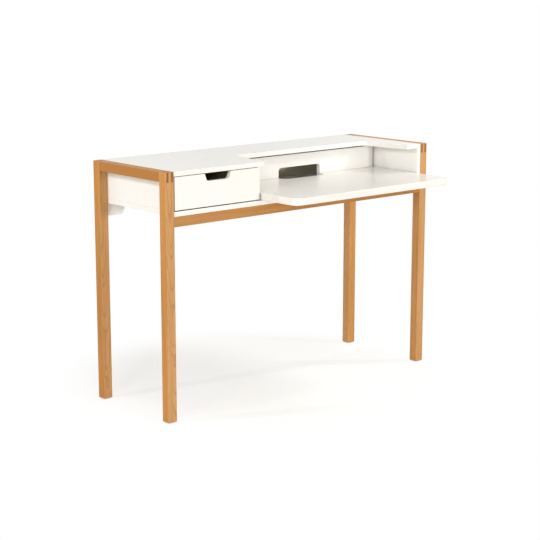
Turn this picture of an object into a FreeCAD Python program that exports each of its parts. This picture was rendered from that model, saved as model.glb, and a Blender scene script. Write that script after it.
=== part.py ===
import FreeCAD, Part
import os
from math import acos, cos, pi, sin, tan

# Kneehole desk in millimetres: X runs left to right, Y front to back, Z up.
# While it is built, X is 0 at mid length, Y is 0 at the leg fronts and Z is 0 on the floor.

# Overall size
LENGTH = 1200.0
DEPTH = 400.0
HEIGHT = 825.0

# Solid oak frame
LEG = 34.0
OAK_EASE = 2.0
TOP_RAIL_HEIGHT = 33.0
COMB_CHEEK = 4.0
COMB_FINGER = 8.5
COMB_MIDDLE = 9.0
FRONT_RAIL_HEIGHT = 34.0
FRONT_RAIL_DEPTH = 24.0
FRONT_RAIL_SETBACK = 1.0
TENON_LENGTH = 20.0
TENON_SHOULDER = 6.0
GLIDE_DISC = 2.0
GLIDE_RADIUS = 12.0
GLIDE_PIN_RADIUS = 3.0
GLIDE_PIN_LENGTH = 12.0

# Lacquered case
PANEL = 16.0
PANEL_EASE = 1.0
PANEL_CORNER = 2.0
CASE_HEIGHT = 145.0
DRAWER_BAY = 357.0
TOP_LIP = 20.0
ARM_LIP = 53.0
CUTOUT_DEPTH = 195.0
CUTOUT_SLANT = 31.0
CUTOUT_CORNER = 25.0
EAR_DROP = 46.0
EAR_TOP_LENGTH = 89.0
EAR_FOOT_LENGTH = 71.0
EAR_CORNER = 6.0
CABLE_DROP_WIDTH = 80.0
CABLE_DROP_DEPTH = 34.0
CABLE_DROP_CORNER = 12.0
CABLE_DROP_SETBACK = 24.0

# Sliding worktop and its upstand, pulled out
WORKTOP = 24.0
WORKTOP_EASE = 1.5
WORKTOP_REACH = 174.0
WORKTOP_SIDE_GAP = 7.0
WORKTOP_CORNER = 32.0
UPSTAND_SETBACK = 27.0
UPSTAND_HEAD_GAP = 7.8
CLOSED_GAP = 6.0
CABLE_SLOT_WIDTH = 199.0
CABLE_SLOT_HEIGHT = 35.5
CABLE_SLOT_CORNER = 12.0
CABLE_NOTCH_REACH = 35.0
CABLE_NOTCH_CORNER = 22.0
GUIDE_HEIGHT = 8.0
GUIDE_GROOVE = 6.0
GUIDE_GROOVE_START = 20.0
GUIDE_STOP_GAP = 2.0
GLIDE_STRIP = 2.5
GLIDE_STRIP_PROUD = 0.4
GLIDE_STRIP_WIDTH = 20.0
GLIDE_STRIP_SETBACK = 8.0
STOP_PIN_RADIUS = 4.0
STOP_PIN_HEAD_RADIUS = 8.0
STOP_PIN_HEAD = 3.0
STOP_PIN_REACH = 8.0
STOP_PIN_SETBACK = 32.0

# Drawer
DRAWER_TOP_GAP = 2.0
DRAWER_LOW_GAP = 3.5
DRAWER_LEFT_GAP = 3.0
DRAWER_BUMPER = 1.8
BUMPER_RADIUS = 5.0
DRAWER_SIDE = 12.0
DRAWER_SIDE_GAP = 1.5
DRAWER_FLOOR_GAP = 6.0
DRAWER_BACK_GAP = 20.0
DRAWER_HEAD_GAP = 17.0
DRAWER_BOTTOM = 6.0
DRAWER_BOTTOM_LIFT = 8.0
BOTTOM_GROOVE = 5.0
PULL_TOP_WIDTH = 110.0
PULL_FOOT_WIDTH = 92.0
PULL_DEPTH = 24.5
PULL_CORNER = 11.0
RUNNER_HEIGHT = 12.0
RUNNER_GROOVE = 6.0
RUNNER_SETBACK = 4.0

# Dowels, screws, bolts and inserts
DOWEL_RADIUS = 4.0
DOWEL_IN_FACE = 10.0
DOWEL_IN_EDGE = 10.0
THIN_DOWEL_RADIUS = 3.0
THIN_DOWEL_IN_FACE = 8.0
THIN_DOWEL_IN_EDGE = 14.0
SCREW_RADIUS = 2.0
SCREW_HEAD_RADIUS = 4.0
SCREW_HEAD = 2.5
SCREW_BITE = 24.0
RAIL_SCREW_SINK = 10.0
RAIL_SCREW_BITE = 11.0
SMALL_SCREW_RADIUS = 1.5
SMALL_SCREW_HEAD_RADIUS = 3.0
SMALL_SCREW_HEAD = 1.8
SMALL_SCREW_BITE = 9.0
BOLT_RADIUS = 3.0
BOLT_HEAD_RADIUS = 5.0
BOLT_HEAD = 4.0
BOLT_SINK = 0.5
INSERT_RADIUS = 5.0
INSERT_LENGTH = 13.0

# Clearances, how far a cutting tool runs past a face, and how flat a flat edge is
FIT = 0.1
BOLT_CLEARANCE = 0.3
RUNNING_GAP = 0.2
OVERRUN = 5.0
FLAT = 0.001

# Places of repeated pieces, as shares of the length that they stand along
case_dowel_shares = (0.12, 0.5, 0.88)
rail_bolt_shares = (0.64, 0.87)
front_bolt_share = 0.11
rear_bolt_share = 0.3
back_screw_shares = (0.5, 0.85)
floor_screw_shares = (0.25, 0.75)
front_rail_screw_shares = (0.1, 0.37, 0.63, 0.9)
strip_shares = (0.2, 0.8)
stop_pin_shares = (0.25, 0.75)
upstand_dowel_shares = (0.06, 0.3, 0.7, 0.94)
upstand_screw_shares = (0.16, 0.84)
slide_screw_shares = (0.1, 0.5, 0.9)
drawer_dowel_shares = (0.3, 0.85)
bottom_screw_shares = (0.2, 0.5, 0.8)
runner_share = 0.62
bumper_shares = (0.15, 0.85)

# Drive recesses, as shares of the radius and the height of the head
cross_length_share = 1.1
cross_width_share = 0.28
socket_width_share = 0.8
recess_depth_share = 0.6

Vector = FreeCAD.Vector
RIGHT = Vector(1, 0, 0)
LEFT = Vector(-1, 0, 0)
BACK = Vector(0, 1, 0)
FRONT = Vector(0, -1, 0)
UP = Vector(0, 0, 1)

# Faces that several pieces share
case_left = LEG - LENGTH / 2
case_right = LENGTH / 2 - LEG
case_bottom = HEIGHT - CASE_HEIGHT
floor_top = case_bottom + PANEL
top_under = HEIGHT - PANEL
rail_under = HEIGHT - TOP_RAIL_HEIGHT
back_face = DEPTH - PANEL
upright_front = PANEL + DRAWER_BUMPER + RUNNING_GAP
left_inner = case_left + PANEL
right_inner = case_right - PANEL
divider_right = case_left + DRAWER_BAY
divider_left = divider_right - PANEL
worktop_left = divider_right + WORKTOP_SIDE_GAP
worktop_right = right_inner - WORKTOP_SIDE_GAP
worktop_middle = (worktop_left + worktop_right) / 2
worktop_under = floor_top + GLIDE_STRIP_PROUD + RUNNING_GAP
worktop_top = worktop_under + WORKTOP
upstand_front = CUTOUT_DEPTH + UPSTAND_SETBACK
upstand_back = upstand_front + PANEL
worktop_travel = back_face - CLOSED_GAP - upstand_back
box_left = left_inner + DRAWER_SIDE_GAP
box_right = divider_left - DRAWER_SIDE_GAP
box_back = back_face - DRAWER_BACK_GAP
box_low = floor_top + DRAWER_FLOOR_GAP
box_high = top_under - DRAWER_HEAD_GAP
drawer_floor = box_low + DRAWER_BOTTOM_LIFT + DRAWER_BOTTOM
uprights = ((case_left, left_inner), (divider_left, divider_right), (right_inner, case_right))

parts = {}


def middle(span):
    return (span[0] + span[1]) / 2


def along(low, high, shares):
    return [low + share * (high - low) for share in shares]


def box(x, y, z):
    """Block between the low and high value of each axis."""
    return Part.makeBox(x[1] - x[0], y[1] - y[0], z[1] - z[0], Vector(x[0], y[0], z[0]))


def eased_box(x, y, z, ease):
    block = box(x, y, z)
    return block.makeFillet(ease, block.Edges)


def outline(corners, lift):
    """Closed wire through (u, v, radius) corners; lift turns a flat (u, v) into a point."""
    edges = []
    ends = []
    for index, (u, v, radius) in enumerate(corners):
        before = corners[index - 1]
        after = corners[(index + 1) % len(corners)]
        corner = Vector(u, v, 0)
        back = (Vector(before[0], before[1], 0) - corner).normalize()
        ahead = (Vector(after[0], after[1], 0) - corner).normalize()
        half_angle = acos(back.dot(ahead)) / 2
        reach = radius / tan(half_angle)
        inward = (back + ahead).normalize()
        start = lift(corner + back * reach)
        crown = lift(corner + inward * (radius / sin(half_angle) - radius))
        end = lift(corner + ahead * reach)
        ends.append((start, end))
        edges.append(Part.Arc(start, crown, end).toShape())
    for index, (start, end) in enumerate(ends):
        edges.append(Part.LineSegment(ends[index - 1][1], start).toShape())
    return Part.Wire(Part.__sortEdges__(edges))


def lying_plate(corners, z, ease):
    """Flat board with the given plan outline and eased upper and lower edges."""
    wire = outline(corners, lambda p: Vector(p.x, p.y, z[0]))
    plate = Part.Face(wire).extrude(UP * (z[1] - z[0]))
    return plate.makeFillet(ease, [e for e in plate.Edges if e.BoundBox.ZLength < FLAT])


def standing_plate(corners, y, ease):
    """Upright board with the given front outline and eased front and rear edges."""
    wire = outline(corners, lambda p: Vector(p.x, y[0], p.y))
    plate = Part.Face(wire).extrude(BACK * (y[1] - y[0]))
    return plate.makeFillet(ease, [e for e in plate.Edges if e.BoundBox.YLength < FLAT])


def rod(radius, base, direction, length):
    return Part.makeCylinder(radius, length, base, direction)


def peg(radius, joint, direction, behind, ahead, fit):
    """Dowel through a joint face, or its hole when fit is the clearance round it."""
    return rod(radius + fit, joint - direction * (behind + fit), direction, behind + ahead + fit + fit)


def turned(steps, base, direction, recess=()):
    """Solid of revolution through (radius, station) steps, less a recess, stood on base along direction."""
    first = Vector(0, 0, steps[0][1])
    last = Vector(0, 0, steps[-1][1])
    points = [first] + [Vector(radius, 0, station) for radius, station in steps] + [last, first]
    solid = Part.Face(Part.makePolygon(points)).revolve(Vector(0, 0, 0), UP, 360)
    for tool in recess:
        solid = solid.cut(tool)
    solid.Placement = FreeCAD.Placement(base, FreeCAD.Rotation(UP, direction))
    return solid


def cross_recess(head_radius, head):
    """Two crossing slots in the face of a screw head."""
    long = (-head_radius * cross_length_share / 2, head_radius * cross_length_share / 2)
    narrow = (-head_radius * cross_width_share / 2, head_radius * cross_width_share / 2)
    deep = (0, head * recess_depth_share)
    return box(long, narrow, deep), box(narrow, long, deep)


def hexagon_socket(head_radius, head):
    """Six-sided socket in the face of a bolt head."""
    corner_radius = head_radius * socket_width_share / 2 / cos(pi / 6)
    turns = [side * pi / 3 for side in range(7)]
    corners = [Vector(cos(turn), sin(turn), 0) * corner_radius for turn in turns]
    return (Part.Face(Part.makePolygon(corners)).extrude(UP * head * recess_depth_share),)


def screw(base, direction, length, radius, head_radius, head):
    """Countersunk screw whose head lies flush with the face at base."""
    steps = ((head_radius, 0), (radius, head), (radius, length))
    return turned(steps, base, direction, cross_recess(head_radius, head))


def screw_hole(base, direction, length, radius, head_radius, head):
    wide = head_radius + FIT
    narrow = radius + FIT
    steps = ((wide, -OVERRUN), (wide, FIT), (narrow, head + FIT), (narrow, length + FIT))
    return turned(steps, base, direction)


def headed_pin(base, direction, length, radius, head_radius, head):
    """Bolt or pin with a flat round head that starts at base."""
    steps = ((head_radius, 0), (head_radius, head), (radius, head), (radius, length))
    return turned(steps, base, direction, hexagon_socket(head_radius, head))


def headed_pin_hole(base, direction, length, radius, head_radius, head):
    wide = head_radius + BOLT_CLEARANCE
    narrow = radius + BOLT_CLEARANCE
    return turned(((wide, -OVERRUN), (wide, head), (narrow, head), (narrow, length)), base, direction)


def group(solids):
    return Part.makeCompound(solids)


# Fasteners first, so that every piece is bored from the same places

case_dowels = []
case_dowel_holes = []
for x in [middle(upright) for upright in uprights]:
    for y in along(upright_front, back_face, case_dowel_shares):
        for joint, direction in ((Vector(x, y, floor_top), UP), (Vector(x, y, top_under), -UP)):
            case_dowels.append(peg(DOWEL_RADIUS, joint, direction, DOWEL_IN_FACE, DOWEL_IN_EDGE, 0))
            case_dowel_holes.append(peg(DOWEL_RADIUS, joint, direction, DOWEL_IN_FACE, DOWEL_IN_EDGE, FIT))
parts["case_dowels"] = group(case_dowels)

ear_dowels = []
ear_dowel_holes = []
for x, direction in ((case_left, LEFT), (case_right, RIGHT)):
    joint = Vector(x, back_face + PANEL / 2, case_bottom - EAR_DROP / 2)
    ear_dowels.append(peg(DOWEL_RADIUS, joint, direction, DOWEL_IN_EDGE, DOWEL_IN_EDGE, 0))
    ear_dowel_holes.append(peg(DOWEL_RADIUS, joint, direction, DOWEL_IN_EDGE, DOWEL_IN_EDGE, FIT))
parts["ear_dowels"] = group(ear_dowels)

rail_bolt_height = (rail_under + top_under) / 2
front_bolt_height = floor_top + front_bolt_share * (top_under - floor_top)
rear_bolt_height = floor_top + rear_bolt_share * (top_under - floor_top)
bolt_places = [(y, rail_bolt_height) for y in along(0, DEPTH, rail_bolt_shares)]
bolt_places.append(((upright_front + LEG) / 2, front_bolt_height))
bolt_places.append(((DEPTH - LEG + back_face) / 2, rear_bolt_height))
bolt_sizes = (PANEL - BOLT_SINK + INSERT_LENGTH, BOLT_RADIUS, BOLT_HEAD_RADIUS, BOLT_HEAD)
bolts = []
bolt_holes = []
inserts = []
insert_holes = []
for inner, outer, direction in ((left_inner, case_left, LEFT), (right_inner, case_right, RIGHT)):
    for y, z in bolt_places:
        head_face = Vector(inner, y, z) + direction * BOLT_SINK
        oak_face = Vector(outer, y, z)
        bolts.append(headed_pin(head_face, direction, *bolt_sizes))
        bolt_holes.append(headed_pin_hole(head_face, direction, *bolt_sizes))
        sleeve = rod(INSERT_RADIUS, oak_face, direction, INSERT_LENGTH)
        inserts.append(sleeve.cut(rod(BOLT_RADIUS + FIT, oak_face, direction, INSERT_LENGTH)))
        insert_holes.append(rod(INSERT_RADIUS + FIT, oak_face, direction, INSERT_LENGTH + FIT))
parts["frame_bolts"] = group(bolts)
parts["frame_inserts"] = group(inserts)

back_screw_sizes = (PANEL + SCREW_BITE, SCREW_RADIUS, SCREW_HEAD_RADIUS, SCREW_HEAD)
back_screws = []
back_screw_holes = []
back_screw_places = []
for x in [middle(upright) for upright in uprights]:
    for z in along(floor_top, top_under, back_screw_shares):
        back_screw_places.append(Vector(x, DEPTH, z))
for x in along(case_left, case_right, floor_screw_shares):
    back_screw_places.append(Vector(x, DEPTH, case_bottom + PANEL / 2))
for place in back_screw_places:
    back_screws.append(screw(place, FRONT, *back_screw_sizes))
    back_screw_holes.append(screw_hole(place, FRONT, *back_screw_sizes))
parts["back_panel_screws"] = group(back_screws)

rail_screw_length = FRONT_RAIL_HEIGHT - RAIL_SCREW_SINK + RAIL_SCREW_BITE
rail_screw_sizes = (rail_screw_length, SCREW_RADIUS, SCREW_HEAD_RADIUS, SCREW_HEAD)
rail_middle = FRONT_RAIL_SETBACK + FRONT_RAIL_DEPTH / 2
rail_screws = []
rail_screw_holes = []
for x in along(case_left, case_right, front_rail_screw_shares):
    seat = Vector(x, rail_middle, case_bottom - FRONT_RAIL_HEIGHT + RAIL_SCREW_SINK)
    mouth = rod(SCREW_HEAD_RADIUS + FIT, seat, -UP, RAIL_SCREW_SINK + OVERRUN)
    rail_screws.append(screw(seat, UP, *rail_screw_sizes))
    rail_screw_holes.append(screw_hole(seat, UP, *rail_screw_sizes).fuse(mouth))
parts["front_rail_screws"] = group(rail_screws)


# Oak end frames: legs and top rail cut from one portal, so that their edges run through

def end_frame(side):
    x = (-LENGTH / 2, case_left)
    whole = box(x, (0, DEPTH), (GLIDE_DISC, HEIGHT))
    portal = whole.cut(box(x, (LEG, DEPTH - LEG), (GLIDE_DISC, rail_under)))
    inner_corner = [e for e in portal.Edges if abs(e.CenterOfMass.z - rail_under) < FLAT]
    inner_corner = [e for e in inner_corner if e.BoundBox.YLength < FLAT]
    eased = [e for e in portal.Edges if not any(e.isSame(corner) for corner in inner_corner)]
    portal = portal.makeFillet(OAK_EASE, eased)
    rail_z = (rail_under, HEIGHT)
    first = x[0] + COMB_CHEEK
    second = first + COMB_FINGER + COMB_MIDDLE
    fingers = [box((start, start + COMB_FINGER), (0, DEPTH), rail_z) for start in (first, second)]
    rail_zone = box(x, (LEG, DEPTH - LEG), rail_z).fuse(fingers).removeSplitter()
    pieces = {"top_rail": portal.common(rail_zone)}
    for name, y in (("front_leg", (0, LEG)), ("rear_leg", (DEPTH - LEG, DEPTH))):
        leg = portal.common(box(x, y, (GLIDE_DISC, HEIGHT))).cut(fingers)
        foot = Vector(middle(x), middle(y), GLIDE_DISC)
        pieces[name] = leg.cut(rod(GLIDE_PIN_RADIUS + FIT, foot, UP, GLIDE_PIN_LENGTH + FIT))
    if side == "right":
        pieces = {name: piece.mirror(Vector(0, 0, 0), RIGHT) for name, piece in pieces.items()}
    return pieces


rail_y = (FRONT_RAIL_SETBACK, FRONT_RAIL_SETBACK + FRONT_RAIL_DEPTH)
rail_z = (case_bottom - FRONT_RAIL_HEIGHT, case_bottom)
tenon_x = (case_left - TENON_LENGTH, case_right + TENON_LENGTH)
tenon_y = (rail_y[0] + TENON_SHOULDER, rail_y[1] - TENON_SHOULDER)
tenon_z = (rail_z[0] + TENON_SHOULDER, rail_z[1] - TENON_SHOULDER)
front_rail = eased_box((case_left, case_right), rail_y, rail_z, PANEL_EASE)
parts["front_rail"] = front_rail.fuse(box(tenon_x, tenon_y, tenon_z)).cut(rail_screw_holes)
mortise = box(
    (tenon_x[0] - FIT, tenon_x[1] + FIT),
    (tenon_y[0] - FIT, tenon_y[1] + FIT),
    (tenon_z[0] - FIT, tenon_z[1] + FIT),
)

for side in ("left", "right"):
    frame = end_frame(side)
    parts[side + "_top_rail"] = frame["top_rail"].cut(insert_holes)
    parts[side + "_front_leg"] = frame["front_leg"].cut(insert_holes + [mortise])
    parts[side + "_rear_leg"] = frame["rear_leg"].cut(insert_holes + ear_dowel_holes)

glide_steps = (
    (GLIDE_RADIUS, 0),
    (GLIDE_RADIUS, GLIDE_DISC),
    (GLIDE_PIN_RADIUS, GLIDE_DISC),
    (GLIDE_PIN_RADIUS, GLIDE_DISC + GLIDE_PIN_LENGTH),
)
foot_places = [(side * (LENGTH - LEG) / 2, y) for side in (-1, 1) for y in (LEG / 2, DEPTH - LEG / 2)]
parts["foot_glides"] = group([turned(glide_steps, Vector(x, y, 0), UP) for x, y in foot_places])


# Sliding hardware on the case: drawer runners, worktop guides, glide strips and stop pins

small_screw_sizes = (SMALL_SCREW_RADIUS, SMALL_SCREW_HEAD_RADIUS, SMALL_SCREW_HEAD)
runner_width = DRAWER_SIDE_GAP + RUNNER_GROOVE - RUNNING_GAP
runner_y = (upright_front + RUNNER_SETBACK, box_back)
runner_middle = box_low + runner_share * (box_high - box_low)
runner_z = (runner_middle - RUNNER_HEIGHT / 2, runner_middle + RUNNER_HEIGHT / 2)
guide_width = WORKTOP_SIDE_GAP + GUIDE_GROOVE - RUNNING_GAP
guide_y = (GUIDE_GROOVE_START + worktop_travel + GUIDE_STOP_GAP, back_face)
guide_middle = (worktop_under + worktop_top) / 2
guide_z = (guide_middle - GUIDE_HEIGHT / 2, guide_middle + GUIDE_HEIGHT / 2)

slides = (
    ("drawer_runner_left", left_inner, LEFT, runner_width, runner_y, runner_z),
    ("drawer_runner_right", divider_left, RIGHT, runner_width, runner_y, runner_z),
    ("worktop_guide_left", divider_right, LEFT, guide_width, guide_y, guide_z),
    ("worktop_guide_right", right_inner, RIGHT, guide_width, guide_y, guide_z),
)
slide_screws = {"drawer_runner": [], "worktop_guide": []}
slide_screw_holes = []
for name, wall, direction, width, y, z in slides:
    free_face = wall - direction.x * width
    strip = eased_box((min(wall, free_face), max(wall, free_face)), y, z, PANEL_EASE)
    holes = []
    for station in along(y[0], y[1], slide_screw_shares):
        place = Vector(free_face, station, middle(z))
        length = width + SMALL_SCREW_BITE
        slide_screws[name.rsplit("_", 1)[0]].append(screw(place, direction, length, *small_screw_sizes))
        holes.append(screw_hole(place, direction, length, *small_screw_sizes))
    parts[name] = strip.cut(holes)
    slide_screw_holes += holes
for kind, screws in slide_screws.items():
    parts[kind + "_screws"] = group(screws)

strip_high = floor_top + GLIDE_STRIP_PROUD
strip_low = strip_high - GLIDE_STRIP
strip_y = (GLIDE_STRIP_SETBACK, back_face - GLIDE_STRIP_SETBACK)
strip_groove_y = (strip_y[0] - FIT, strip_y[1] + FIT)
strips = []
strip_grooves = []
for x in along(worktop_left, worktop_right, strip_shares):
    strip_x = (x - GLIDE_STRIP_WIDTH / 2, x + GLIDE_STRIP_WIDTH / 2)
    strips.append(box(strip_x, strip_y, (strip_low, strip_high)))
    strip_groove_x = (strip_x[0] - FIT, strip_x[1] + FIT)
    strip_grooves.append(box(strip_groove_x, strip_groove_y, (strip_low, strip_high)))
parts["worktop_glide_strips"] = group(strips)

pin_y = upstand_front - STOP_PIN_SETBACK
pin_length = worktop_under + STOP_PIN_REACH - case_bottom - BOLT_SINK
pin_sizes = (pin_length, STOP_PIN_RADIUS, STOP_PIN_HEAD_RADIUS, STOP_PIN_HEAD)
slot_radius = STOP_PIN_RADIUS + RUNNING_GAP
slot_z = (worktop_under - OVERRUN, worktop_under + STOP_PIN_REACH + RUNNING_GAP)
stop_pins = []
stop_pin_holes = []
stop_slots = []
for x in along(worktop_left, worktop_right, stop_pin_shares):
    seat = Vector(x, pin_y, case_bottom + BOLT_SINK)
    stop_pins.append(headed_pin(seat, UP, *pin_sizes))
    stop_pin_holes.append(headed_pin_hole(seat, UP, *pin_sizes))
    stop_slots.append(box((x - slot_radius, x + slot_radius), (pin_y - worktop_travel, pin_y), slot_z))
    for y in (pin_y - worktop_travel, pin_y):
        stop_slots.append(rod(slot_radius, Vector(x, y, slot_z[0]), UP, slot_z[1] - slot_z[0]))
parts["worktop_stop_pins"] = group(stop_pins)


# Lacquered case panels

lip_end = divider_right + TOP_LIP
arm_start = right_inner - ARM_LIP
top_corners = (
    (case_left, 0, PANEL_CORNER),
    (lip_end, 0, PANEL_CORNER),
    (lip_end + CUTOUT_SLANT, CUTOUT_DEPTH, CUTOUT_CORNER),
    (arm_start - CUTOUT_SLANT, CUTOUT_DEPTH, CUTOUT_CORNER),
    (arm_start, 0, PANEL_CORNER),
    (case_right, 0, PANEL_CORNER),
    (case_right, DEPTH, PANEL_CORNER),
    (case_left, DEPTH, PANEL_CORNER),
)
parts["top_panel"] = lying_plate(top_corners, (top_under, HEIGHT), PANEL_EASE).cut(case_dowel_holes)

drop_left = divider_right + CABLE_DROP_SETBACK
drop_right = drop_left + CABLE_DROP_WIDTH
drop_front = back_face - CABLE_DROP_DEPTH
bottom_corners = (
    (case_left, 0, PANEL_CORNER),
    (case_right, 0, PANEL_CORNER),
    (case_right, back_face, PANEL_CORNER),
    (drop_right, back_face, PANEL_CORNER),
    (drop_right, drop_front, CABLE_DROP_CORNER),
    (drop_left, drop_front, CABLE_DROP_CORNER),
    (drop_left, back_face, PANEL_CORNER),
    (case_left, back_face, PANEL_CORNER),
)
bottom_panel = lying_plate(bottom_corners, (case_bottom, floor_top), PANEL_EASE)
bottom_holes = case_dowel_holes + back_screw_holes + rail_screw_holes + stop_pin_holes + strip_grooves
parts["bottom_panel"] = bottom_panel.cut(bottom_holes)

upright_names = ("left_side_panel", "centre_divider", "right_side_panel")
upright_fronts = (upright_front, upright_front, 0)
upright_holes = case_dowel_holes + bolt_holes + back_screw_holes + slide_screw_holes
for name, x, front in zip(upright_names, uprights, upright_fronts):
    upright = eased_box(x, (front, back_face), (floor_top, top_under), PANEL_EASE)
    parts[name] = upright.cut(upright_holes)

ear_foot = case_bottom - EAR_DROP
back_corners = (
    (case_left, ear_foot, PANEL_CORNER),
    (case_left + EAR_FOOT_LENGTH, ear_foot, EAR_CORNER),
    (case_left + EAR_TOP_LENGTH, case_bottom, EAR_CORNER),
    (case_right - EAR_TOP_LENGTH, case_bottom, EAR_CORNER),
    (case_right - EAR_FOOT_LENGTH, ear_foot, EAR_CORNER),
    (case_right, ear_foot, PANEL_CORNER),
    (case_right, top_under, PANEL_CORNER),
    (case_left, top_under, PANEL_CORNER),
)
back_panel = standing_plate(back_corners, (back_face, DEPTH), PANEL_EASE)
parts["back_panel"] = back_panel.cut(back_screw_holes + ear_dowel_holes)


# Worktop board with its upstand

slot_left = worktop_middle - CABLE_SLOT_WIDTH / 2
slot_right = worktop_middle + CABLE_SLOT_WIDTH / 2
notch_front = upstand_front - CABLE_NOTCH_REACH
upstand_middle = (upstand_front + upstand_back) / 2

upstand_dowels = []
upstand_holes = []
for x in along(worktop_left, worktop_right, upstand_dowel_shares):
    joint = Vector(x, upstand_middle, worktop_top)
    upstand_dowels.append(peg(DOWEL_RADIUS, joint, UP, DOWEL_IN_FACE, DOWEL_IN_EDGE, 0))
    upstand_holes.append(peg(DOWEL_RADIUS, joint, UP, DOWEL_IN_FACE, DOWEL_IN_EDGE, FIT))
parts["upstand_dowels"] = group(upstand_dowels)

upstand_screw_sizes = (WORKTOP + SCREW_BITE, SCREW_RADIUS, SCREW_HEAD_RADIUS, SCREW_HEAD)
upstand_screws = []
for x in along(worktop_left, worktop_right, upstand_screw_shares):
    place = Vector(x, upstand_middle, worktop_under)
    upstand_screws.append(screw(place, UP, *upstand_screw_sizes))
    upstand_holes.append(screw_hole(place, UP, *upstand_screw_sizes))
parts["upstand_screws"] = group(upstand_screws)

board_corners = (
    (worktop_left, -WORKTOP_REACH, WORKTOP_CORNER),
    (worktop_right, -WORKTOP_REACH, WORKTOP_CORNER),
    (worktop_right, upstand_back, PANEL_CORNER),
    (slot_right, upstand_back, PANEL_CORNER),
    (slot_right, notch_front, CABLE_NOTCH_CORNER),
    (slot_left, notch_front, CABLE_NOTCH_CORNER),
    (slot_left, upstand_back, PANEL_CORNER),
    (worktop_left, upstand_back, PANEL_CORNER),
)
groove_y = (GUIDE_GROOVE_START, upstand_back + OVERRUN)
groove_z = (guide_z[0] - RUNNING_GAP, guide_z[1] + RUNNING_GAP)
guide_grooves = [
    box((worktop_left - OVERRUN, worktop_left + GUIDE_GROOVE), groove_y, groove_z),
    box((worktop_right - GUIDE_GROOVE, worktop_right + OVERRUN), groove_y, groove_z),
]
board = lying_plate(board_corners, (worktop_under, worktop_top), WORKTOP_EASE)
parts["worktop_board"] = board.cut(guide_grooves + stop_slots + upstand_holes)

slot_top = worktop_top + CABLE_SLOT_HEIGHT
upstand_top = top_under - UPSTAND_HEAD_GAP
upstand_corners = (
    (worktop_left, worktop_top, PANEL_CORNER),
    (slot_left, worktop_top, PANEL_CORNER),
    (slot_left, slot_top, CABLE_SLOT_CORNER),
    (slot_right, slot_top, CABLE_SLOT_CORNER),
    (slot_right, worktop_top, PANEL_CORNER),
    (worktop_right, worktop_top, PANEL_CORNER),
    (worktop_right, upstand_top, PANEL_CORNER),
    (worktop_left, upstand_top, PANEL_CORNER),
)
upstand = standing_plate(upstand_corners, (upstand_front, upstand_back), PANEL_EASE)
parts["worktop_upstand"] = upstand.cut(upstand_holes)


# Drawer: front with its finger notch, and a box that hangs on the runners

inner_left = box_left + DRAWER_SIDE
inner_right = box_right - DRAWER_SIDE

drawer_dowels = []
drawer_dowel_holes = []
for x in (box_left + DRAWER_SIDE / 2, box_right - DRAWER_SIDE / 2):
    for z in along(box_low, box_high, drawer_dowel_shares):
        joint = Vector(x, PANEL, z)
        sizes = (THIN_DOWEL_RADIUS, joint, BACK, THIN_DOWEL_IN_FACE, THIN_DOWEL_IN_EDGE)
        drawer_dowels.append(peg(*sizes, 0))
        drawer_dowel_holes.append(peg(*sizes, FIT))
for x, direction in ((inner_left, RIGHT), (inner_right, LEFT)):
    for z in along(box_low, box_high, drawer_dowel_shares):
        joint = Vector(x, box_back - DRAWER_SIDE / 2, z)
        sizes = (THIN_DOWEL_RADIUS, joint, direction, THIN_DOWEL_IN_FACE, THIN_DOWEL_IN_EDGE)
        drawer_dowels.append(peg(*sizes, 0))
        drawer_dowel_holes.append(peg(*sizes, FIT))
parts["drawer_dowels"] = group(drawer_dowels)

bottom_x = (inner_left - BOTTOM_GROOVE, inner_right + BOTTOM_GROOVE)
bottom_y = (PANEL - BOTTOM_GROOVE, box_back)
bottom_z = (drawer_floor - DRAWER_BOTTOM, drawer_floor)
bottom_slot = box(
    (bottom_x[0] - FIT, bottom_x[1] + FIT),
    (bottom_y[0] - FIT, bottom_y[1] + OVERRUN),
    (bottom_z[0] - FIT, bottom_z[1] + FIT),
)
bottom_screw_length = DRAWER_BOTTOM + SMALL_SCREW_BITE
bottom_screws = []
bottom_screw_holes = []
for x in along(inner_left, inner_right, bottom_screw_shares):
    place = Vector(x, box_back - DRAWER_SIDE / 2, bottom_z[0])
    bottom_screws.append(screw(place, UP, bottom_screw_length, *small_screw_sizes))
    bottom_screw_holes.append(screw_hole(place, UP, bottom_screw_length, *small_screw_sizes))
parts["drawer_bottom_screws"] = group(bottom_screws)
parts["drawer_bottom"] = box(bottom_x, bottom_y, bottom_z).cut(bottom_screw_holes)

front_x = (case_left + DRAWER_LEFT_GAP, divider_right)
front_z = (floor_top + DRAWER_LOW_GAP, top_under - DRAWER_TOP_GAP)
pull_foot = front_z[1] - PULL_DEPTH
front_corners = (
    (front_x[0], front_z[0], PANEL_CORNER),
    (front_x[1], front_z[0], PANEL_CORNER),
    (front_x[1], front_z[1], PANEL_CORNER),
    (middle(front_x) + PULL_TOP_WIDTH / 2, front_z[1], PANEL_CORNER),
    (middle(front_x) + PULL_FOOT_WIDTH / 2, pull_foot, PULL_CORNER),
    (middle(front_x) - PULL_FOOT_WIDTH / 2, pull_foot, PULL_CORNER),
    (middle(front_x) - PULL_TOP_WIDTH / 2, front_z[1], PANEL_CORNER),
    (front_x[0], front_z[1], PANEL_CORNER),
)
drawer_front = standing_plate(front_corners, (0, PANEL), PANEL_EASE)
parts["drawer_front"] = drawer_front.cut(drawer_dowel_holes + [bottom_slot])

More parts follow.
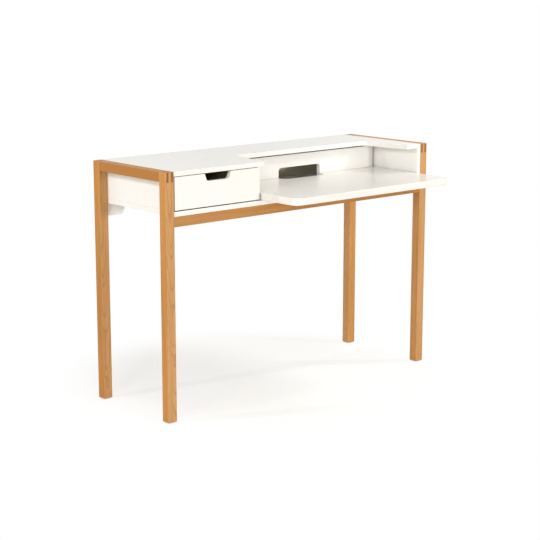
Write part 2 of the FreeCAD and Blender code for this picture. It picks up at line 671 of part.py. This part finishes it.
runner_slot_z = (runner_z[0] - RUNNING_GAP, runner_z[1] + RUNNING_GAP)
runner_slot_y = (PANEL - OVERRUN, box_back + OVERRUN)
runner_slots = [
    box((box_left - OVERRUN, box_left + RUNNER_GROOVE), runner_slot_y, runner_slot_z),
    box((box_right - RUNNER_GROOVE, box_right + OVERRUN), runner_slot_y, runner_slot_z),
]
side_cuts = drawer_dowel_holes + runner_slots + [bottom_slot]
for name, x in (("left", (box_left, inner_left)), ("right", (inner_right, box_right))):
    side_board = eased_box(x, (PANEL, box_back), (box_low, box_high), PANEL_EASE)
    parts["drawer_" + name + "_side"] = side_board.cut(side_cuts)

back_y = (box_back - DRAWER_SIDE, box_back)
drawer_back = eased_box((inner_left, inner_right), back_y, (drawer_floor, box_high), PANEL_EASE)
parts["drawer_back"] = drawer_back.cut(drawer_dowel_holes + bottom_screw_holes)

bumpers = []
for x in (middle(uprights[0]), middle(uprights[1])):
    for z in along(front_z[0], front_z[1], bumper_shares):
        bumpers.append(rod(BUMPER_RADIUS, Vector(x, PANEL, z), BACK, DRAWER_BUMPER))
parts["drawer_bumpers"] = group(bumpers)


# The origin goes to the floor, in the middle of the desk with its worktop out

to_origin = Vector(0, (WORKTOP_REACH - DEPTH) / 2, 0)
os.makedirs("parts", exist_ok=True)
for name, shape in parts.items():
    shape.translated(to_origin).exportStep("parts/" + name + ".step")
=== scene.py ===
import math

import bmesh
import bpy
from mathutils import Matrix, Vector

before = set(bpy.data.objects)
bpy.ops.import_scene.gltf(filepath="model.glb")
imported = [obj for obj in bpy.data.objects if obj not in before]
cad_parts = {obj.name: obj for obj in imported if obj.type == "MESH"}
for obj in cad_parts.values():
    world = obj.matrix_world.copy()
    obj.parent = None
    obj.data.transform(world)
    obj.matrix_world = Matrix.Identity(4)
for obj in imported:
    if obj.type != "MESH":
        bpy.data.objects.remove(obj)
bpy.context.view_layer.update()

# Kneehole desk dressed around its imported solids: metres, X along the desk, Y from front to back, Z up.
# Colours are linear. Texture scales are cycles per metre across, across and along the grain.

# Camera fitted to the corners of the legs, rails and top
CAMERA_PLACE = (-3.34471, -3.76273, 1.46047)
CAMERA_AZIMUTH = -41.075
CAMERA_ELEVATION = 11.750
CAMERA_LENS = 97.389
CAMERA_SENSOR = 36.0

# Studio floor: its matt share under the desk, which shows the desk's real shadow, where that fades out, the
# darker place left of the middle, how far a painted shade dims the floor's glow in that place and outside
# it, and the contact shade at the feet, partly painted
FLOOR_RADIUS = 9.0
FLOOR_SIDES = 96
FLOOR_COLOUR = (0.97, 0.945, 0.90, 1.0)
FLOOR_SHADE_SHARE = 0.42
FLOOR_SHADE_MIDDLE = (-0.02, 0.17, 0.0)
FLOOR_SHADE_FADE = (0.42, 0.74)
FLOOR_DARK_MIDDLE = (-0.25, 0.22, 0.0)
FLOOR_DARK_STRETCH = (1.0, 0.5, 0.0)
FLOOR_DARK_FADE = (0.12, 0.45)
FLOOR_DARK_LEVELS = (0.94, 0.77)
FLOOR_CONTACT_REACH = 0.02
FLOOR_CONTACT_OPENNESS = (0.10, 0.90)

# Studio light: ambient level and colour, suns (name, direction, colour, strength, apparent size)
# and small lamps (name, place, target, width and height, power)
AMBIENT = 0.31
AMBIENT_COLOUR = (1.0, 0.992, 0.978, 1.0)
SUNS = (
    ("front", (0.12, -0.94, 0.01), (0.955, 0.980, 1.0), 0.92, math.radians(6)),
    ("front_left", (-0.75, -0.60, 0.26), (0.980, 0.993, 1.0), 0.74, math.radians(24)),
    ("left", (-0.95, -0.30, 0.12), (0.980, 0.993, 1.0), 0.43, math.radians(30)),
    ("overhead", (0.15, -0.60, 1.0), (1.0, 0.950, 0.855), 0.94, math.radians(60)),
)
SMALL_LAMPS = (
    ("right_strip", (1.14, -0.49, 1.60), (0.0, 0.10, 0.40), (0.03, 0.2), 5.0),
    ("left_rear_strip", (-1.86, 0.48, 1.60), (-0.30, 0.05, 0.40), (0.03, 0.2), 7.5),
    ("left_front_box", (-1.94, -0.67, 1.60), (-0.30, 0.05, 0.40), (0.3, 0.5), 4.5),
)

# Oak: pale and deep colours of quarter-sawn and of flat-sawn faces (the flat-sawn ones paler, partly the
# real look of the cut and partly a painted sheen), then its lines, pores, flecks (whose colour is also a
# painted highlight on eased edges) and ends, the width, lean and sway of its rings, and its texture scales
OAK_QUARTER = ((0.640, 0.296, 0.074, 1.0), (0.415, 0.172, 0.034, 1.0))
OAK_FLAT_WITH_SHEEN = ((0.625, 0.334, 0.134, 1.0), (0.460, 0.228, 0.076, 1.0))
OAK_LINE = (0.285, 0.130, 0.048, 1.0)
OAK_PORE = (0.215, 0.085, 0.026, 1.0)
OAK_FLECK_AND_HIGHLIGHT = (0.720, 0.410, 0.170, 1.0)
OAK_END = ((0.170, 0.066, 0.022, 1.0), (0.290, 0.122, 0.044, 1.0))
OAK_RING = 0.0024
OAK_LEAN = 0.024
OAK_SWAY = 0.009
OAK_SWAY_SCALES = (14, 14, 7)
OAK_DRIFT_SCALES = (70, 1, 1)
OAK_STREAK_SCALES = (95, 95, 3.2)
OAK_FIBRE_SCALES = (1100, 1100, 22)
OAK_BROAD_SCALES = (8, 8, 3.0)
OAK_PORE_SCALES = (1500, 1500, 34)
OAK_FLECK_SCALES = (160, 900, 75)
OAK_VESSEL_SCALES = (900, 900, 4)

# White lacquer: colours of its faces, clouds, eased edges (a painted highlight), joints and gaps (a painted
# shade) and the back's forward faces inside the case (a painted shade), its roughness, how closed a point
# must be for the painted shade within its reach, and its texture scales
LACQUER_COLOUR = (0.866, 0.844, 0.804, 1.0)
LACQUER_SHADE = (0.855, 0.833, 0.793, 1.0)
LACQUER_EDGE_HIGHLIGHT = (0.880, 0.860, 0.822, 1.0)
LACQUER_SEAM_SHADE = (0.300, 0.290, 0.270, 1.0)
LACQUER_INSIDE_SHADE = (0.765, 0.718, 0.560, 1.0)
LACQUER_ROUGHNESS = (0.235, 0.262)
SEAM_SHADE_REACH = 0.03
SEAM_SHADE_OPENNESS = (0.04, 0.40)
SEAM_SHADE_SHARE = 0.8
LACQUER_CLOUD_SCALES = (5, 5, 5)
LACQUER_WIPE_SCALES = (40, 40, 40)
LACQUER_PEEL_SCALES = (420, 420, 420)

# Other woods, metals and moulded pieces: texture scales
WOOD_FIBRE_SCALES = (900, 900, 25)
WOOD_FLECK_SCALES = (1300, 1300, 90)
METAL_PATCH_SCALES = (260, 260, 260)
METAL_MARK_SCALES = (2400, 2400, 2400)
MOULDED_CLOUD_SCALES = (120, 120, 120)
MOULDED_GRAIN_SCALES = (1600, 1600, 1600)

# Rays that measure how open a point is, and the Y of a normal below which a face looks forward
OPENNESS_SAMPLES = 16
FORWARD_LIMIT = -0.9


class Shader:
    """The nodes of a material or a world, and short ways to add to them."""

    def __init__(self, owner):
        owner.use_nodes = True
        self.owner = owner
        self.tree = owner.node_tree
        self.tree.nodes.clear()

    def connect(self, socket, value):
        if isinstance(value, bpy.types.NodeSocket):
            self.tree.links.new(value, socket)
        else:
            socket.default_value = value

    def add(self, kind, inputs=None, **settings):
        node = self.tree.nodes.new("ShaderNode" + kind)
        for name, value in settings.items():
            setattr(node, name, value)
        for name, value in (inputs or {}).items():
            self.connect(node.inputs[name], value)
        return node

    def coordinates(self, kind):
        return self.add("TexCoord").outputs[kind]

    def math(self, operation, *values):
        return self.add("Math", dict(enumerate(values)), operation=operation).outputs[0]

    def vector(self, operation, *values):
        node = self.add("VectorMath", dict(enumerate(values)), operation=operation)
        return node.outputs["Value" if operation in ("LENGTH", "DOT_PRODUCT") else "Vector"]

    def split(self, vector):
        return self.add("SeparateXYZ", {0: vector}).outputs

    def join(self, x, y, z):
        return self.add("CombineXYZ", {0: x, 1: y, 2: z}).outputs[0]

    def noise(self, place, scales, detail=2.0, roughness=0.5, output="Fac"):
        stretched = self.vector("MULTIPLY", place, scales)
        inputs = {"Vector": stretched, "Scale": 1.0, "Detail": detail, "Roughness": roughness}
        return self.add("TexNoise", inputs).outputs[output]

    def cells(self, place, scales):
        stretched = self.vector("MULTIPLY", place, scales)
        return self.add("TexVoronoi", {"Vector": stretched, "Scale": 1.0}).outputs["Distance"]

    def ranged(self, value, low, high, to_low=0.0, to_high=1.0):
        inputs = {"Value": value, "From Min": low, "From Max": high, "To Min": to_low, "To Max": to_high}
        return self.add("MapRange", inputs, interpolation_type="SMOOTHSTEP").outputs["Result"]

    def blend(self, share, first, second, mode="MIX"):
        node = self.add("Mix", data_type="RGBA", blend_type=mode)
        self.connect(node.inputs[0], share)
        self.connect(node.inputs[6], first)
        self.connect(node.inputs[7], second)
        return node.outputs[2]

    def bump(self, height, strength, distance):
        return self.add("Bump", {"Height": height, "Strength": strength, "Distance": distance}).outputs[0]

    def openness(self, reach):
        """Share of the space over a point that is free of other surfaces within reach."""
        return self.add("AmbientOcclusion", {"Distance": reach}, samples=OPENNESS_SAMPLES).outputs["AO"]

    def edge(self):
        """1 on the eased edges between faces that stand square to the axes, 0 on the faces."""
        x, y, z = self.split(self.vector("ABSOLUTE", self.coordinates("Normal")))
        squareness = self.math("MAXIMUM", self.math("MAXIMUM", x, y), z)
        return self.ranged(squareness, 0.80, 0.985, 1.0, 0.0)

    def surface(self, inputs):
        shader = self.add("BsdfPrincipled", inputs).outputs[0]
        self.add("OutputMaterial", {"Surface": shader})
        return self.owner


def new_material(name):
    return Shader(bpy.data.materials.new(name))


def along_grain(shader, vector, grain):
    """The vector with its grain axis as Z."""
    x, y, z = shader.split(vector)
    order = {"x": (y, z, x), "y": (z, x, y), "z": (x, y, z)}[grain]
    return shader.join(*order)


def oak(name, grain, pith, tone):
    """Oak with its pith leaning along the grain: arches on flat-sawn faces, straight lines on the others."""
    s = new_material(name)
    straight = s.vector("SUBTRACT", along_grain(s, s.coordinates("Object"), grain), pith)
    wander = s.vector("SUBTRACT", s.noise(straight, OAK_SWAY_SCALES, 2.0, 0.5, "Color"), (0.5, 0.5, 0.5))
    place = s.vector("ADD", straight, s.vector("MULTIPLY", wander, (OAK_SWAY, OAK_SWAY, 0.0)))
    u, v, w = s.split(place)
    across = s.join(s.math("MULTIPLY_ADD", w, OAK_LEAN, u), s.math("MULTIPLY_ADD", w, OAK_LEAN, v), 0.0)
    radius = s.vector("LENGTH", across)
    facing = along_grain(s, s.coordinates("Normal"), grain)
    square = s.vector("DOT_PRODUCT", facing, s.vector("NORMALIZE", across))
    flat = s.ranged(s.math("ABSOLUTE", square), 0.45, 0.90)

    drift = s.noise(s.join(radius, 0.0, 0.0), OAK_DRIFT_SCALES, 1.0)
    ring = s.math("FRACT", s.math("MULTIPLY_ADD", drift, 3.0, s.math("DIVIDE", radius, OAK_RING)))
    early = s.math("MULTIPLY", s.ranged(ring, 0.0, 0.06), s.ranged(ring, 0.09, 0.36, 1.0, 0.0))

    streak = s.noise(place, OAK_STREAK_SCALES, 2.0, 0.55)
    fibre = s.noise(place, OAK_FIBRE_SCALES, 2.0, 0.6)
    broad = s.noise(straight, OAK_BROAD_SCALES, 2.0, 0.5)
    dark = s.math("MULTIPLY_ADD", s.ranged(streak, 0.30, 0.72), 0.40, tone - 0.50)
    dark = s.math("MULTIPLY_ADD", fibre, 0.30, dark)
    dark = s.math("MULTIPLY_ADD", s.ranged(broad, 0.25, 0.75), 0.30, dark)
    # Flat-sawn faces take paler colours, partly the real look of the cut and partly a painted sheen
    colour = s.blend(flat, s.blend(dark, *OAK_QUARTER), s.blend(dark, *OAK_FLAT_WITH_SHEEN))
    line = s.math("MULTIPLY", early, s.ranged(flat, 0.0, 1.0, 0.10, 0.38))
    colour = s.blend(line, colour, OAK_LINE)

    pores = s.ranged(s.noise(place, OAK_PORE_SCALES, 1.0, 0.5), 0.60, 0.70)
    pores = s.math("MULTIPLY", pores, s.math("MULTIPLY_ADD", early, 0.75, 0.25))
    colour = s.blend(s.math("MULTIPLY", pores, 0.55), colour, OAK_PORE)
    flecks = s.ranged(s.noise(place, OAK_FLECK_SCALES, 1.0, 0.5), 0.66, 0.74)
    flecks = s.math("MULTIPLY", flecks, s.ranged(flat, 0.0, 1.0, 0.22, 0.0))
    colour = s.blend(flecks, colour, OAK_FLECK_AND_HIGHLIGHT)

    end = s.ranged(s.math("ABSOLUTE", s.split(facing)[2]), 0.70, 0.96)
    vessels = s.ranged(s.cells(place, OAK_VESSEL_SCALES), 0.10, 0.32, 0.55, 1.0)
    end_colour = s.blend(1.0, s.blend(ring, *OAK_END), vessels, "MULTIPLY")
    colour = s.blend(s.math("MULTIPLY", end, 0.85), colour, end_colour)
    edge = s.edge()
    # Painted highlight: eased edges are drawn paler in the fleck colour
    colour = s.blend(s.math("MULTIPLY", edge, 0.16), colour, OAK_FLECK_AND_HIGHLIGHT)

    rough = s.math("MULTIPLY_ADD", fibre, 0.16, 0.42)
    rough = s.math("MULTIPLY_ADD", edge, -0.08, rough)
    relief = s.math("MULTIPLY_ADD", pores, -1.0, s.math("MULTIPLY", fibre, 0.45))
    return s.surface({
        "Base Color": colour, "Roughness": rough, "Specular IOR Level": 0.25,
        "Normal": s.bump(relief, 0.35, 0.00025),
    })


def lacquer(name, inside_above=None):
    """Sprayed satin lacquer: fine orange peel, faint clouds, eased edges drawn brighter as a painted
    highlight, and painted shade in deep joints and gaps.

    Faces that look forward above the height inside_above lie inside the case and are drawn darker and
    yellower as a painted shade.
    """
    s = new_material(name)
    place = s.coordinates("Object")
    clouds = s.noise(place, LACQUER_CLOUD_SCALES, 3.0, 0.55)
    colour = s.blend(s.ranged(clouds, 0.35, 0.65), LACQUER_COLOUR, LACQUER_SHADE)
    edge = s.edge()
    # Painted highlight: eased edges are drawn brighter than the faces
    colour = s.blend(s.math("MULTIPLY", edge, 0.5), colour, LACQUER_EDGE_HIGHLIGHT)
    # Painted shade: forward faces of the back inside the case are drawn darker and yellower
    if inside_above is not None:
        forward = s.math("LESS_THAN", s.split(s.coordinates("Normal"))[1], FORWARD_LIMIT)
        inside = s.math("MULTIPLY", forward, s.math("GREATER_THAN", s.split(place)[2], inside_above))
        colour = s.blend(inside, colour, LACQUER_INSIDE_SHADE)
    # Painted shade: points closed in by nearby surfaces, as in joints and gaps, are drawn dark
    seam_shade = s.ranged(s.openness(SEAM_SHADE_REACH), *SEAM_SHADE_OPENNESS, SEAM_SHADE_SHARE, 0.0)
    colour = s.blend(seam_shade, colour, LACQUER_SEAM_SHADE)
    wipe = s.noise(place, LACQUER_WIPE_SCALES, 3.0, 0.6)
    rough = s.ranged(wipe, 0.30, 0.72, *LACQUER_ROUGHNESS)
    rough = s.math("MULTIPLY_ADD", edge, 0.06, rough)
    peel = s.noise(place, LACQUER_PEEL_SCALES, 2.0, 0.5)
    return s.surface({
        "Base Color": colour, "Roughness": rough, "IOR": 1.5,
        "Normal": s.bump(peel, 0.06, 0.0001),
    })


def pale_wood(name, grain, pale, deep, pore, spread):
    """Close-grained wood with fine lines along the grain and short darker flecks."""
    s = new_material(name)
    place = along_grain(s, s.coordinates("Object"), grain)
    lines = s.noise(place, (spread, spread, 5), 3.0, 0.55)
    fibre = s.noise(place, WOOD_FIBRE_SCALES, 2.0, 0.6)
    tone = s.math("MULTIPLY_ADD", fibre, 0.35, s.ranged(lines, 0.30, 0.70, 0.0, 0.65))
    colour = s.blend(tone, pale, deep)
    flecks = s.ranged(s.noise(place, WOOD_FLECK_SCALES, 1.0, 0.5), 0.64, 0.72)
    colour = s.blend(s.math("MULTIPLY", flecks, 0.5), colour, pore)
    edge = s.edge()
    # Painted highlight: eased edges are drawn paler
    colour = s.blend(s.math("MULTIPLY", edge, 0.25), colour, pale)
    rough = s.math("MULTIPLY_ADD", fibre, 0.15, 0.40)
    relief = s.math("MULTIPLY_ADD", flecks, -0.6, fibre)
    return s.surface({
        "Base Color": colour, "Roughness": rough, "Specular IOR Level": 0.4,
        "Normal": s.bump(relief, 0.20, 0.0002),
    })


def metal(name, pale, deep, rough_low, rough_high):
    """Plated or turned metal with fine tool marks and a patchy sheen."""
    s = new_material(name)
    place = s.coordinates("Object")
    patches = s.noise(place, METAL_PATCH_SCALES, 3.0, 0.6)
    marks = s.noise(place, METAL_MARK_SCALES, 2.0, 0.5)
    colour = s.blend(s.ranged(patches, 0.35, 0.65), pale, deep)
    rough = s.ranged(patches, 0.30, 0.70, rough_low, rough_high)
    return s.surface({
        "Base Color": colour, "Roughness": rough, "Metallic": 1.0,
        "Normal": s.bump(marks, 0.15, 0.0001),
    })


def moulded(name, pale, deep, rough):
    """Moulded plastic or rubber with a fine matt grain."""
    s = new_material(name)
    place = s.coordinates("Object")
    clouds = s.noise(place, MOULDED_CLOUD_SCALES, 3.0, 0.6)
    grain = s.noise(place, MOULDED_GRAIN_SCALES, 2.0, 0.5)
    colour = s.blend(s.ranged(clouds, 0.30, 0.70), pale, deep)
    return s.surface({
        "Base Color": colour, "Roughness": s.math("MULTIPLY_ADD", grain, 0.15, rough),
        "Normal": s.bump(grain, 0.20, 0.0001),
    })


# Every oak piece has its own place in a log: grain axis, pith in (across, across, along) and tone
OAK_PIECES = {
    "left_front_leg": ("z", (-0.578, -0.041, 0.45), 0.42),
    "left_rear_leg": ("z", (-0.590, 0.325, 0.30), 0.76),
    "right_front_leg": ("z", (0.618, -0.041, 0.52), 0.40),
    "right_rear_leg": ("z", (0.638, 0.292, 0.38), 0.44),
    "left_top_rail": ("y", (0.725, -0.583, 0.10), 1.15),
    "right_top_rail": ("y", (0.725, 0.580, 0.05), 0.62),
    "front_rail": ("x", (-0.064, 0.580, 0.20), 0.80),
}
LACQUER_PIECES = (
    "top_panel", "bottom_panel", "left_side_panel", "right_side_panel", "centre_divider",
    "worktop_board", "worktop_upstand", "drawer_front",
)
BIRCH = ((0.74, 0.64, 0.48, 1), (0.62, 0.50, 0.34, 1), (0.42, 0.30, 0.18, 1), 45)
BEECH = ((0.62, 0.42, 0.26, 1), (0.50, 0.31, 0.17, 1), (0.28, 0.15, 0.08, 1), 60)
WOOD_PIECES = {
    "drawer_left_side": ("y", BIRCH), "drawer_right_side": ("y", BIRCH),
    "drawer_back": ("x", BIRCH), "drawer_bottom": ("x", BIRCH),
    "drawer_runner_left": ("y", BEECH), "drawer_runner_right": ("y", BEECH),
    "worktop_guide_left": ("y", BEECH), "worktop_guide_right": ("y", BEECH),
    "case_dowels": ("z", BEECH), "upstand_dowels": ("z", BEECH),
    "ear_dowels": ("x", BEECH), "drawer_dowels": ("y", BEECH),
}
STEEL_PIECES = (
    "frame_bolts", "back_panel_screws", "front_rail_screws", "drawer_runner_screws", "worktop_guide_screws",
    "worktop_stop_pins", "upstand_screws", "drawer_bottom_screws",
)


def dress(node, material):
    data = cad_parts[node].data
    data.materials.clear()
    data.materials.append(material)


for node, (grain, pith, tone) in OAK_PIECES.items():
    dress(node, oak("oak_" + node, grain, pith, tone))
white = lacquer("white_lacquer")
for node in LACQUER_PIECES:
    dress(node, white)
case_floor = max(corner[2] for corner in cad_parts["bottom_panel"].bound_box)
# The back panel's lacquer paints shade on its forward faces above the case floor
dress("back_panel", lacquer("white_lacquer_back", case_floor))
woods = {}
for node, (grain, sort) in WOOD_PIECES.items():
    kind = ("birch_" if sort is BIRCH else "beech_") + grain
    if kind not in woods:
        woods[kind] = pale_wood(kind, grain, *sort)
    dress(node, woods[kind])
zinc = metal("zinc_plated_steel", (0.62, 0.62, 0.63, 1), (0.50, 0.51, 0.54, 1), 0.25, 0.42)
for node in STEEL_PIECES:
    dress(node, zinc)
dress("frame_inserts", metal("turned_brass", (0.74, 0.56, 0.27, 1), (0.62, 0.44, 0.18, 1), 0.22, 0.38))
nylon = moulded("nylon", (0.82, 0.81, 0.78, 1), (0.76, 0.75, 0.72, 1), 0.42)
dress("worktop_glide_strips", nylon)
dress("foot_glides", nylon)
dress("drawer_bumpers", moulded("soft_rubber", (0.58, 0.57, 0.55, 1), (0.50, 0.49, 0.48, 1), 0.55))


def seen_directly(shader):
    """1 for rays that show the backdrop: seen by the camera, in a reflection or through glass."""
    path = shader.add("LightPath").outputs
    seen = shader.math("MAXIMUM", path["Is Camera Ray"], path["Is Glossy Ray"])
    return shader.math("MAXIMUM", seen, path["Is Transmission Ray"])


def studio_floor():
    """Pale round floor that keeps the desk's real shadow in its matt share, has a painted shade by place and
    at the feet, and runs out into the white backdrop.
    """
    mesh = bpy.data.meshes.new("studio_floor")
    shape = bmesh.new()
    bmesh.ops.create_circle(shape, cap_ends=True, segments=FLOOR_SIDES, radius=FLOOR_RADIUS)
    shape.to_mesh(mesh)
    shape.free()
    floor = bpy.data.objects.new("studio_floor", mesh)
    bpy.context.scene.collection.objects.link(floor)
    s = new_material("studio_floor")
    place = s.coordinates("Object")
    from_middle = s.vector("LENGTH", s.vector("SUBTRACT", place, FLOOR_SHADE_MIDDLE))
    shade = s.ranged(from_middle, *FLOOR_SHADE_FADE, FLOOR_SHADE_SHARE, 0.0)
    # Painted shade: the glow is dimmed by place, most in a darker place left of the middle
    beside = s.vector("MULTIPLY", s.vector("SUBTRACT", place, FLOOR_DARK_MIDDLE), FLOOR_DARK_STRETCH)
    from_dark = s.vector("LENGTH", beside)
    painted_shade = s.math("MULTIPLY", shade, s.ranged(from_dark, *FLOOR_DARK_FADE, *FLOOR_DARK_LEVELS))
    # Contact shade at the feet: more matt floor shows there, and the glow is dimmed as painted shade
    contact = s.ranged(s.openness(FLOOR_CONTACT_REACH), *FLOOR_CONTACT_OPENNESS, FLOOR_SHADE_SHARE, 0.0)
    matt = s.add("BsdfDiffuse", {"Color": FLOOR_COLOUR}).outputs[0]
    faint = s.add("MixShader", {0: s.math("MAXIMUM", shade, contact), 2: matt}).outputs[0]
    level = s.math("SUBTRACT", 1.0, s.math("MAXIMUM", painted_shade, contact))
    glow = s.add("Emission", {"Color": (1, 1, 1, 1), "Strength": level}).outputs[0]
    backdrop = s.add("AddShader", {0: faint, 1: glow}).outputs[0]
    mixed = s.add("MixShader", {0: seen_directly(s), 1: matt, 2: backdrop}).outputs[0]
    s.add("OutputMaterial", {"Surface": mixed})
    mesh.materials.append(s.owner)


def studio_world():
    """White where it is seen, and a warmer, dimmer sky for the light that it gives."""
    world = bpy.data.worlds.new("studio")
    bpy.context.scene.world = world
    s = Shader(world)
    seen = seen_directly(s)
    colour = s.blend(seen, AMBIENT_COLOUR, (1, 1, 1, 1))
    strength = s.math("MULTIPLY_ADD", seen, 1.0 - AMBIENT, AMBIENT)
    sky = s.add("Background", {"Color": colour, "Strength": strength}).outputs[0]
    s.add("OutputWorld", {"Surface": sky})


def lamp(name, kind, place, target, power, **settings):
    data = bpy.data.lights.new(name, kind)
    data.energy = power
    for key, value in settings.items():
        setattr(data, key, value)
    light = bpy.data.objects.new(name, data)
    bpy.context.scene.collection.objects.link(light)
    light.location = place
    light.rotation_euler = (Vector(target) - Vector(place)).to_track_quat("-Z", "Y").to_euler()


def studio_camera():
    data = bpy.data.cameras.new("camera")
    data.lens = CAMERA_LENS
    data.sensor_width = CAMERA_SENSOR
    camera = bpy.data.objects.new("camera", data)
    bpy.context.scene.collection.objects.link(camera)
    azimuth = math.radians(CAMERA_AZIMUTH)
    elevation = math.radians(CAMERA_ELEVATION)
    level = math.cos(elevation)
    back = Vector((math.sin(azimuth) * level, -math.cos(azimuth) * level, math.sin(elevation)))
    camera.location = CAMERA_PLACE
    camera.rotation_euler = (-back).to_track_quat("-Z", "Y").to_euler()
    bpy.context.scene.camera = camera


studio_floor()
studio_world()
for name, place, colour, power, angle in SUNS:
    lamp(name, "SUN", place, (0, 0, 0), power, angle=angle, color=colour)
for name, place, target, (width, height), power in SMALL_LAMPS:
    lamp(name, "AREA", place, target, power, shape="RECTANGLE", size=width, size_y=height)
studio_camera()
bpy.context.scene.view_settings.view_transform = "Standard"
